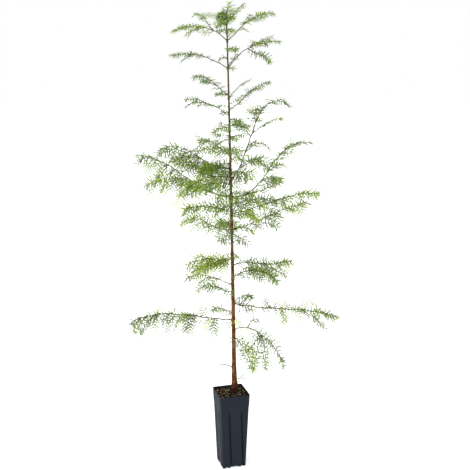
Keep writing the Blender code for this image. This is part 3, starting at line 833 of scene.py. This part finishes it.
def sow_branchlets(lines):
    """Pairs of branchlets along the leafy stretch of every bough and shoot."""
    branchlets = Branchlets()
    for number, line in enumerate(lines):
        bough = line.bough
        if bough.half_width < FEATHER:
            continue
        random = np.random.default_rng(SEED + 1000 + number)
        tone = bough.tone + random.normal(0, 0.08)
        start = bough.bare or FOLIAGE_START
        along = start
        while along < bough.length - FOLIAGE_END:
            t = (along - start) / (bough.length - start)
            point = line.point(along)
            look = look_at(point[2])
            ahead = line.direction(along)
            up = line.read(line.up, along)
            for side in (-1, 1):
                if random.random() < MISSING:
                    continue
                length = bough.half_width * look.reach * fullness(t) * random.uniform(0.78, 1.18)
                splay = math.radians(SPLAY[0] + SPLAY[1] * t + random.normal(0, 7))
                roll = math.radians(random.normal(4, 0.6 * look.spread)) * side
                aside = rolled(line.across * side, ahead, roll)
                way = unit(ahead * math.cos(splay) + aside * math.sin(splay))
                edge = side * look.tilt * (1 - abs(way[2])) + random.normal(0, 0.7 * look.spread)
                face = rolled(square_to(way, up), way, math.radians(edge))
                length = kept_inside(point, way, length)
                tint = tint_at(look, random, tone, point + way * length)
                droop = bough.droop * random.uniform(0.6, 1.4)
                needle = look.needle * random.uniform(0.85, 1.12)
                branchlets.add(point, way, face, ahead, length, droop, needle, look.spacing, tint)
            crowding = TUFT_GAP if bough.length < TUFT else 1.0
            along += look.gap * crowding * random.uniform(0.75, 1.25)
    branchlets.grow()
    return branchlets


def make_stems(branchlets, material, masses):
    """The thin stems of all branchlets."""
    joints = branchlets.points.shape[1]
    aside = np.cross(branchlets.face, branchlets.ahead)
    radius = np.linspace(STEM_FOOT, STEM_TIP, joints)[:, None, None]
    rings = branchlets.points[:, :, None] + spokes(STEM_SIDES, aside, branchlets.face) * radius
    mesh = Mesh()
    mesh.add_each(rings, ring_faces(joints, STEM_SIDES))
    mesh.piece("branchlet_stems", material, "bark", masses)


# A needle: foot, three points where it is full width, three where it closes, tip
NEEDLE_POINTS = np.array((
    (0.0, 0.0, 0.0), (0.13, -0.9, 0.22), (0.13, 0.0, 0.0), (0.13, 0.9, 0.22),
    (0.84, -0.84, 0.2), (0.84, 0.0, 0.0), (0.84, 0.84, 0.2), (1.0, 0.0, 0.0)))
NEEDLE_FACES = np.array((
    (0, 2, 1), (0, 3, 2), (1, 2, 5), (1, 5, 4), (2, 3, 6), (2, 6, 5), (4, 5, 7), (5, 6, 7)))


class Needles:
    """Every needle's foot, direction, face and length, by tint."""

    def __init__(self):
        self.rows = {tint: [] for tint in range(len(TINTS))}

    def add(self, tint, foot, way, face, length):
        for number in np.unique(tint):
            chosen = tint == number
            self.rows[number].append(
                np.concatenate([foot[chosen], way[chosen], face[chosen], length[chosen, None]], 1))

    def add_rows(self, random, foot, ahead, face, t, length, tint):
        """Two needles at each foot, one to each side, swept forward more towards the tip."""
        for side in (-1.0, 1.0):
            splay = NEEDLE_SPLAY[0] + NEEDLE_SPLAY[1] * t ** 2 + random.normal(0, 4, len(t))
            splay = np.radians(splay)[:, None]
            tilt = random.normal(0, NEEDLE_TILT, len(t))[:, None]
            aside = np.cross(face, ahead) * side
            way = unit(ahead * np.cos(splay) + aside * np.sin(splay) + face * tilt)
            flat = square_to(way, face)
            cant = random.normal(0, NEEDLE_CANT, len(t))[:, None]
            flat = unit(flat + np.cross(way, flat) * cant)
            self.add(tint, foot, way, flat, length * random.uniform(0.82, 1.1, len(t)))

    def piece(self, number, name, material, masses):
        rows = np.concatenate(self.rows[number])
        foot, way, face = (rows[:, None, first:first + 3] for first in (0, 3, 6))
        length = rows[:, 9:]
        x, y, z = NEEDLE_POINTS.T
        half = NEEDLE_HALF + NEEDLE_WIDENS * length
        rise = z * half - NEEDLE_BEND * x ** 2 * length
        points = (foot + way * (x * length)[..., None]
                  + np.cross(face, way) * (y * half)[..., None] + face * rise[..., None])
        mesh = Mesh()
        mesh.add_each(points, NEEDLE_FACES)
        mesh.piece(name, material, "foliage", masses, smooth=False)


def needle_share(t):
    """Length along a branchlet, as a share of its longest needle."""
    return 0.5 + 0.5 * np.sin(math.pi * np.clip(0.1 + 0.75 * t, 0, 1)) ** 0.8


def grow_needles(lines, branchlets):
    """Needles on every branchlet, and on the young end of every bough and shoot."""
    needles = Needles()
    random = np.random.default_rng(SEED + 5)
    pairs = np.maximum(2, np.round(branchlets.length / branchlets.spacing)).astype(int)
    which = np.repeat(np.arange(len(pairs)), pairs)
    order = np.concatenate([np.arange(n) for n in pairs])
    t = (order + 0.7 + random.uniform(-0.12, 0.12, len(which))) / pairs[which]
    t = np.clip(t, 0, 1)
    spot = t * BRANCHLET_JOINTS
    joint = np.minimum(spot.astype(int), BRANCHLET_JOINTS - 1)
    part = (spot - joint)[:, None]
    foot = branchlets.points[which, joint] * (1 - part) + branchlets.points[which, joint + 1] * part
    ahead = branchlets.ahead[which, joint + 1]
    face = branchlets.face[which, joint + 1]
    length = branchlets.needle[which] * needle_share(t)
    length *= np.minimum(1.0, 0.45 + branchlets.length[which] / 50)
    needles.add_rows(random, foot, ahead, face, t, length, branchlets.tint[which])
    for line in lines:
        bough = line.bough
        if not bough.half_width:
            continue
        look = look_at(line.points[-1, 2])
        feather = bough.half_width < FEATHER
        young = bough.bare if feather else max(bough.bare, YOUNG * bough.length)
        along = np.arange(young, bough.length, look.spacing * (0.95 if feather else 1.1))
        t = (along - young) / (bough.length - young)
        ahead = line.direction(along)
        edge = random.choice((-1, 1)) * look.tilt * (1 - np.abs(ahead[:, 2]))
        face = rolled(square_to(ahead, line.read(line.up, along)), ahead, np.radians(edge))
        tint = np.full(len(along), tint_at(look, random, line.tone, line.points[-1]))
        length = look.needle * (FEATHER_NEEDLE * needle_share(t) if feather else 0.75 - 0.15 * t)
        needles.add_rows(random, line.point(along), ahead, face, t, length, tint)
    return needles


def linear(hexcode):
    """An sRGB hex colour as linear red, green, blue and alpha."""
    parts = [int(hexcode[i:i + 2], 16) / 255 for i in (1, 3, 5)]
    return (*(((c + 0.055) / 1.055) ** 2.4 if c > 0.04045 else c / 12.92 for c in parts), 1.0)


def scale_of(size):
    """A pattern's scale from the size in millimetres of what it repeats."""
    return 1.0 / (size * MM)


def add_node(material, kind, inputs=None, **settings):
    """A node with its settings; an input takes a value, an output or a node's first output."""
    tree = material.node_tree
    made = tree.nodes.new(kind)
    for name, value in settings.items():
        setattr(made, name, value)
    for name, value in (inputs or {}).items():
        if isinstance(value, bpy.types.Node):
            value = value.outputs[0]
        if isinstance(value, bpy.types.NodeSocket):
            tree.links.new(value, made.inputs[name])
        else:
            made.inputs[name].default_value = value
    return made


def start_material(name):
    """An empty material, and the place on the object that its patterns follow."""
    material = bpy.data.materials.new(name)
    material.use_nodes = True
    material.node_tree.nodes.clear()
    return material, add_node(material, "ShaderNodeTexCoord").outputs["Object"]


def finish_material(material, colour, relief, strength, depth, **shader):
    """Add the relief, whose depth is in millimetres, the surface and the output."""
    bump = add_node(material, "ShaderNodeBump", {
        "Height": relief, "Strength": strength, "Distance": depth * MM})
    inputs = {name.replace("_", " "): value for name, value in shader.items()}
    surface = add_node(material, "ShaderNodeBsdfPrincipled", {
        "Base Color": colour, "Normal": bump, **inputs})
    add_node(material, "ShaderNodeOutputMaterial", {"Surface": surface})
    return material


def waxy_material(name, dark, light, patch, detail, streak, strength, shine):
    """What needles and young stems share: soft patches of two greens and fine streaks."""
    material, where = start_material(name)
    patches = add_node(material, "ShaderNodeTexNoise", {
        "Vector": where, "Scale": scale_of(patch), "Detail": detail})
    streaks = add_node(material, "ShaderNodeTexNoise", {"Vector": where, "Scale": scale_of(streak)})
    colour = add_node(material, "ShaderNodeMix", {
        0: patches, 6: linear(dark), 7: linear(light)}, data_type="RGBA").outputs[2]
    return finish_material(material, colour, streaks, strength=strength, depth=0.2,
                           Roughness=0.6, Specular_IOR_Level=shine)


def needle_material(tint, dark, light):
    """Living conifer leaf: soft, waxy, a little uneven from needle to needle."""
    return waxy_material("living_needle_" + tint, dark, light,
                         patch=11.11, detail=1.0, streak=1.111, strength=0.15, shine=0.15)


def stem_material():
    """Green young stems: fibrous, soft, a little uneven in colour."""
    return waxy_material("young_green_stem", "#52642a", "#667c38",
                         patch=16.67, detail=2.0, streak=0.6667, strength=0.2, shine=0.3)


def bark_material(name, stops, grain):
    """Young redwood bark: thin fibrous strips, dark in between, redder near the ground."""
    material, where = start_material(name)
    apart = add_node(material, "ShaderNodeSeparateXYZ", {0: where})
    height = add_node(material, "ShaderNodeMapRange", {
        "Value": apart.outputs[2], "From Min": SOIL_TOP * MM, "From Max": TRUNK_TIP * MM})
    ramp = add_node(material, "ShaderNodeValToRGB", {0: height})
    points = ramp.color_ramp.elements
    while len(points) < len(stops):
        points.new(0.5)
    for point, (position, colour) in zip(points, stops):
        point.position = position
        point.color = linear(colour)
    stretched = add_node(material, "ShaderNodeMapping", {0: where, "Scale": (1.0, 1.0, 0.14)})
    strips = add_node(material, "ShaderNodeTexNoise", {
        "Vector": stretched, "Scale": scale_of(grain), "Detail": 6.0, "Roughness": 0.62})
    blotches = add_node(material, "ShaderNodeTexNoise", {
        "Vector": where, "Scale": scale_of(9.09), "Detail": 3.0})
    sharper = add_node(material, "ShaderNodeMapRange", {
        "Value": strips, "From Min": 0.36, "From Max": 0.66})
    dark = add_node(material, "ShaderNodeHueSaturation", {
        "Color": ramp, "Value": 0.35, "Saturation": 1.05})
    light = add_node(material, "ShaderNodeHueSaturation", {
        "Color": ramp, "Value": 1.9, "Saturation": 0.85})
    base = add_node(material, "ShaderNodeMix", {
        0: sharper, 6: dark, 7: ramp}, data_type="RGBA").outputs[2]
    lighter = add_node(material, "ShaderNodeMapRange", {
        "Value": blotches, "From Min": 0.46, "From Max": 0.66, "To Max": 0.8})
    colour = add_node(material, "ShaderNodeMix", {
        0: lighter, 6: base, 7: light}, data_type="RGBA").outputs[2]
    return finish_material(material, colour, strips, strength=0.7, depth=0.6,
                           Roughness=0.9, Specular_IOR_Level=0.1)


def pot_material():
    """Injection moulded polypropylene, black with a bluish cast, dusty and lightly scuffed."""
    material, where = start_material("moulded_black_polypropylene")
    dust = add_node(material, "ShaderNodeTexNoise", {
        "Vector": where, "Scale": scale_of(45.45), "Detail": 5.0})
    drawn = add_node(material, "ShaderNodeMapping", {0: where, "Scale": (1.0, 1.0, 0.08)})
    scuffs = add_node(material, "ShaderNodeTexNoise", {
        "Vector": drawn, "Scale": scale_of(2.381), "Detail": 4.0})
    grain = add_node(material, "ShaderNodeTexNoise", {"Vector": where, "Scale": scale_of(0.7143)})
    base = add_node(material, "ShaderNodeMix", {
        0: dust, 6: linear("#1b1f27"), 7: linear("#232830")}, data_type="RGBA").outputs[2]
    worn = add_node(material, "ShaderNodeMapRange", {
        "Value": scuffs, "From Min": 0.58, "From Max": 0.8, "To Max": 0.35})
    colour = add_node(material, "ShaderNodeMix", {
        0: worn, 6: base, 7: linear("#3a3e46")}, data_type="RGBA").outputs[2]
    shine = add_node(material, "ShaderNodeMapRange", {"Value": scuffs, "To Min": 0.42, "To Max": 0.75})
    return finish_material(material, colour, grain, strength=0.12, depth=0.3,
                           Roughness=shine, Specular_IOR_Level=0.07)


def mix_material(name, dark, light, crumb):
    """Composted bark and peat: matt, crumbly, unevenly damp."""
    material, where = start_material(name)
    crumbs = add_node(material, "ShaderNodeTexNoise", {
        "Vector": where, "Scale": scale_of(crumb), "Detail": 6.0})
    sharper = add_node(material, "ShaderNodeMapRange", {
        "Value": crumbs, "From Min": 0.35, "From Max": 0.65})
    colour = add_node(material, "ShaderNodeMix", {
        0: sharper, 6: linear(dark), 7: linear(light)}, data_type="RGBA").outputs[2]
    return finish_material(material, colour, crumbs, strength=0.8, depth=1.2,
                           Roughness=0.95, Specular_IOR_Level=0.2)


def wall_at(height):
    """Half the pot's outer width, under the band, at a height."""
    foot = POT_FOOT / 2
    top = POT_TOP / 2 - BAND_PROUD
    return foot + (top - foot) * height / POT_HEIGHT


def square_outline(half, corner, inset):
    """Points round a square with round corners, sunk by inset where a side has one.

    half is half the width, and inset gives a depth for a place along a side.
    """
    flat = half - corner
    along = np.linspace(-1, 1, SIDE_POINTS) * flat
    arc = np.radians(np.linspace(0, 90, 7)[1:-1])
    bend = flat + corner * np.stack([np.cos(arc), np.sin(arc)], -1)
    edge = np.concatenate([np.stack([half - inset(along), along], -1), bend])
    return np.concatenate([turned(edge, math.radians(90 * side)) for side in range(4)])


def groove_depth(height):
    """A function of the place along a side: how deep the side's two grooves are there."""
    t = np.clip((height - GROOVE_TOP + GROOVE_POINT) / GROOVE_POINT, 0.0, 1.0)
    bite = GROOVE_BITE * (1.0 - t * t * (3 - 2 * t))
    drift = GROOVE_LEAN * (1.0 - min(1.0, height / GROOVE_TOP))

    def depth(along):
        off = np.abs(np.abs(along - drift) - GROOVE_SPACING / 2) / GROOVE_HALF
        return bite * np.clip(1.0 - off ** 8, 0.0, 1.0)
    return depth


def make_pot(material):
    """One closed skin: notched foot, grooved wall, proud band, rounded rim, inner wall."""
    plain = np.zeros_like
    rings = []

    def ring(height, half, corner=POT_CORNER, inset=plain):
        outline = square_outline(half, corner, inset)
        rings.append(np.column_stack([outline, np.broadcast_to(height, len(outline))]))

    foot = wall_at(0.0)
    along = np.abs(square_outline(foot, POT_CORNER, plain)).min(axis=1)
    open_at = [np.abs(along - middle) < width / 2 for middle, width in NOTCHES]
    arch = NOTCH_HEIGHT * np.any(open_at, axis=0)
    ring(0.0, foot - NOTCH_DEPTH - 0.05)
    ring(arch, foot - NOTCH_DEPTH)
    ring(arch, foot, inset=groove_depth(0.0))
    band = POT_HEIGHT - BAND_HEIGHT
    for height in np.linspace(NOTCH_HEIGHT + 1.0, band - BAND_STEP, WALL_RINGS):
        ring(height, wall_at(height), inset=groove_depth(height))
    corner = POT_CORNER + BAND_PROUD
    for height in (band, *np.linspace(band + 1.0, POT_HEIGHT - RIM_ROUND, BAND_RINGS)):
        ring(height, wall_at(height) + BAND_PROUD, corner)
    for height, inwards, tighter in LIP:
        ring(POT_HEIGHT + height, POT_TOP / 2 - inwards, corner - tighter)
    ring(POT_FLOOR, wall_at(POT_FLOOR) - POT_WALL, POT_CORNER - POT_WALL)
    mesh = Mesh()
    mesh.add(np.concatenate([*rings, ((0.0, 0.0, 0.0), (0.0, 0.0, POT_FLOOR))]),
             tube_faces(len(rings), len(along)))
    pot = mesh.piece("pot_shell", material, "pot", ["pot"], in_crown=False)
    pot.data.set_sharp_from_angle(angle=math.radians(35))


def soil_height(x, y, waves):
    """The potting mix's uneven surface, higher round the trunk."""
    height = SOIL_TOP + SOIL_PROUD + SOIL_MOUND * hump(np.hypot(x - TRUNK_START, y), SOIL_SPREAD)
    for size, across, back, start in waves:
        height = height + size * np.sin(across * x + back * y + start)
    return height


def make_soil(mix, chips):
    """Mounded potting mix and the bark chips that lie on it.

    chips gives, for each piece, its name, how many chips it has, a factor on
    their length, and their material.
    """
    random = np.random.default_rng(SEED + 7)
    waves = [(random.uniform(0.2, 0.55), random.normal(0, 0.35), random.normal(0, 0.35),
              random.uniform(0, 6.3)) for _ in range(SOIL_WAVES)]
    half = wall_at(SOIL_TOP) - POT_WALL - SOIL_GAP
    grid = np.linspace(-half, half, SOIL_POINTS)
    x, y = np.meshgrid(grid, grid, indexing="ij")
    z = soil_height(x, y, waves) + random.normal(0, SOIL_ROUGH, x.shape)
    base = np.full(x.shape, SOIL_TOP - SOIL_DEPTH)
    size = x.size
    index = np.arange(size).reshape(x.shape)
    upper = split_quads(index[:-1, :-1], index[1:, :-1], index[1:, 1:], index[:-1, 1:])
    edge = np.concatenate([index[:-1, 0], index[-1, :-1], index[:0:-1, -1], index[0, :0:-1]])
    after = np.roll(edge, -1)
    skirt = split_quads(edge, edge + size, after + size, after)
    mesh = Mesh()
    mesh.add([np.stack([x, y, z], -1), np.stack([x, y, base], -1)],
             np.concatenate([upper, upper[:, ::-1] + size, skirt]))
    mesh.piece("potting_mix", mix, "potting_mix", ["soil"], in_crown=False)
    for name, number, longer, material in chips:
        mesh = Mesh()
        for _ in range(number):
            spot = random.uniform(-half + CHIP_EDGE, half - CHIP_EDGE, 2)
            length = random.uniform(2.5, 7.5) * longer
            width = length * random.uniform(0.3, 0.7)
            thick = random.uniform(0.6, 1.6)
            wobble = random.uniform(0.75, 1.2, CHIP_SIDES)[:, None]
            ring = spokes(CHIP_SIDES, RIGHT, BACK) * (length / 2, width / 2, 0) * wobble
            half_up = thick / 2 * UP
            shape = np.concatenate([ring * 0.8 + half_up, ring - half_up,
                                    (half_up + 0.2 * UP, -half_up)])
            yaw = random.uniform(0, 6.3)
            pitch = random.normal(0, 0.35)
            tipped = turned(shape[:, (0, 2, 1)], -pitch)[:, (0, 2, 1)]
            level = soil_height(*spot, waves) + random.uniform(0.1, 1.0)
            mesh.add(turned(tipped, yaw) + (*spot, level), tube_faces(2, CHIP_SIDES)[:, ::-1])
        mesh.piece(name, material, "potting_mix", ["soil"], smooth=False, in_crown=False)


def make_camera():
    """The photograph's viewing angle: a normal lens a little above the crown's middle."""
    data = bpy.data.cameras.new("camera")
    data.sensor_width = 36.0
    data.lens = LENS
    data.clip_end = 100.0
    camera = bpy.data.objects.new("camera", data)
    camera.location = place(CAMERA_SPOT)
    camera.rotation_euler = (math.radians(90 - CAMERA_DOWN), 0.0, CROWN_TURN)
    bpy.context.scene.collection.objects.link(camera)
    bpy.context.scene.camera = camera


def make_floor():
    """White paper, which spreads the light and glows a little, so that it stays white."""
    paper, where = start_material("white_paper_floor")
    fibres = add_node(paper, "ShaderNodeTexNoise", {"Vector": where, "Scale": scale_of(3.333)})
    colour = add_node(paper, "ShaderNodeMix", {
        0: fibres, 6: linear("#fafafa"), 7: linear("#fdfdfd")}, data_type="RGBA").outputs[2]
    finish_material(paper, colour, fibres, strength=0.02, depth=1.0, Roughness=0.9,
                    Specular_IOR_Level=0.1, Emission_Color=colour, Emission_Strength=0.3)
    rim = spokes(FLOOR_SIDES, RIGHT, BACK) * FLOOR_REACH * MM
    mesh = bpy.data.meshes.new("floor")
    mesh.from_pydata([*rim.tolist(), (0.0, 0.0, 0.0)], [],
                     fan_faces(FLOOR_SIDES, 0, FLOOR_SIDES)[:, ::-1].tolist())
    mesh.materials.append(paper)
    floor = bpy.data.objects.new("floor", mesh)
    bpy.context.scene.collection.objects.link(floor)


def make_studio():
    """White room, and a soft lamp from the left and above."""
    scene = bpy.context.scene
    scene.view_settings.view_transform = "Standard"
    world = bpy.data.worlds.new("white_room")
    world.use_nodes = True
    backdrop = world.node_tree.nodes["Background"]
    seen = add_node(world, "ShaderNodeLightPath").outputs["Is Camera Ray"]
    strength = add_node(world, "ShaderNodeMapRange", {
        "Value": seen, "To Min": ROOM_LIGHT, "To Max": ROOM_SEEN})
    world.node_tree.links.new(strength.outputs[0], backdrop.inputs["Strength"])
    backdrop.inputs["Color"].default_value = (1.0, 1.0, 1.0, 1.0)
    scene.world = world
    sky = bpy.data.lights.new("soft_sky", "SUN")
    sky.energy = SKY_LIGHT
    sky.angle = SKY_SOFTNESS
    lamp = bpy.data.objects.new("soft_sky", sky)
    lamp.rotation_euler = SKY_TURN
    scene.collection.objects.link(lamp)


def main():
    masses = sorted(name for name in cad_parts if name.startswith("foliage_"))
    lines = follow_lines()
    make_trunk(lines, bark_material("young_redwood_bark", TRUNK_COLOURS, grain=3.2))
    make_limbs(lines, bark_material("thin_bough_bark", BOUGH_COLOURS, grain=1.0))
    branchlets = sow_branchlets(lines)
    make_stems(branchlets, stem_material(), masses)
    needles = grow_needles(lines, branchlets)
    for number, (tint, colours) in enumerate(TINTS.items()):
        needles.piece(number, "needles_" + tint, needle_material(tint, *colours), masses)
    make_pot(pot_material())
    peat = mix_material("damp_peat_and_bark", "#070403", "#20160e", crumb=3.846)
    dark_chip = mix_material("composted_bark_chip", "#160d08", "#33241a", crumb=2.5)
    light_chip = mix_material("dry_bark_chip", "#7d6a48", "#b09c76", crumb=2.5)
    make_soil(peat, (("chips_dark", 420, 1.0, dark_chip), ("chips_light", 120, 1.2, light_chip)))
    make_camera()
    make_floor()
    make_studio()


main()
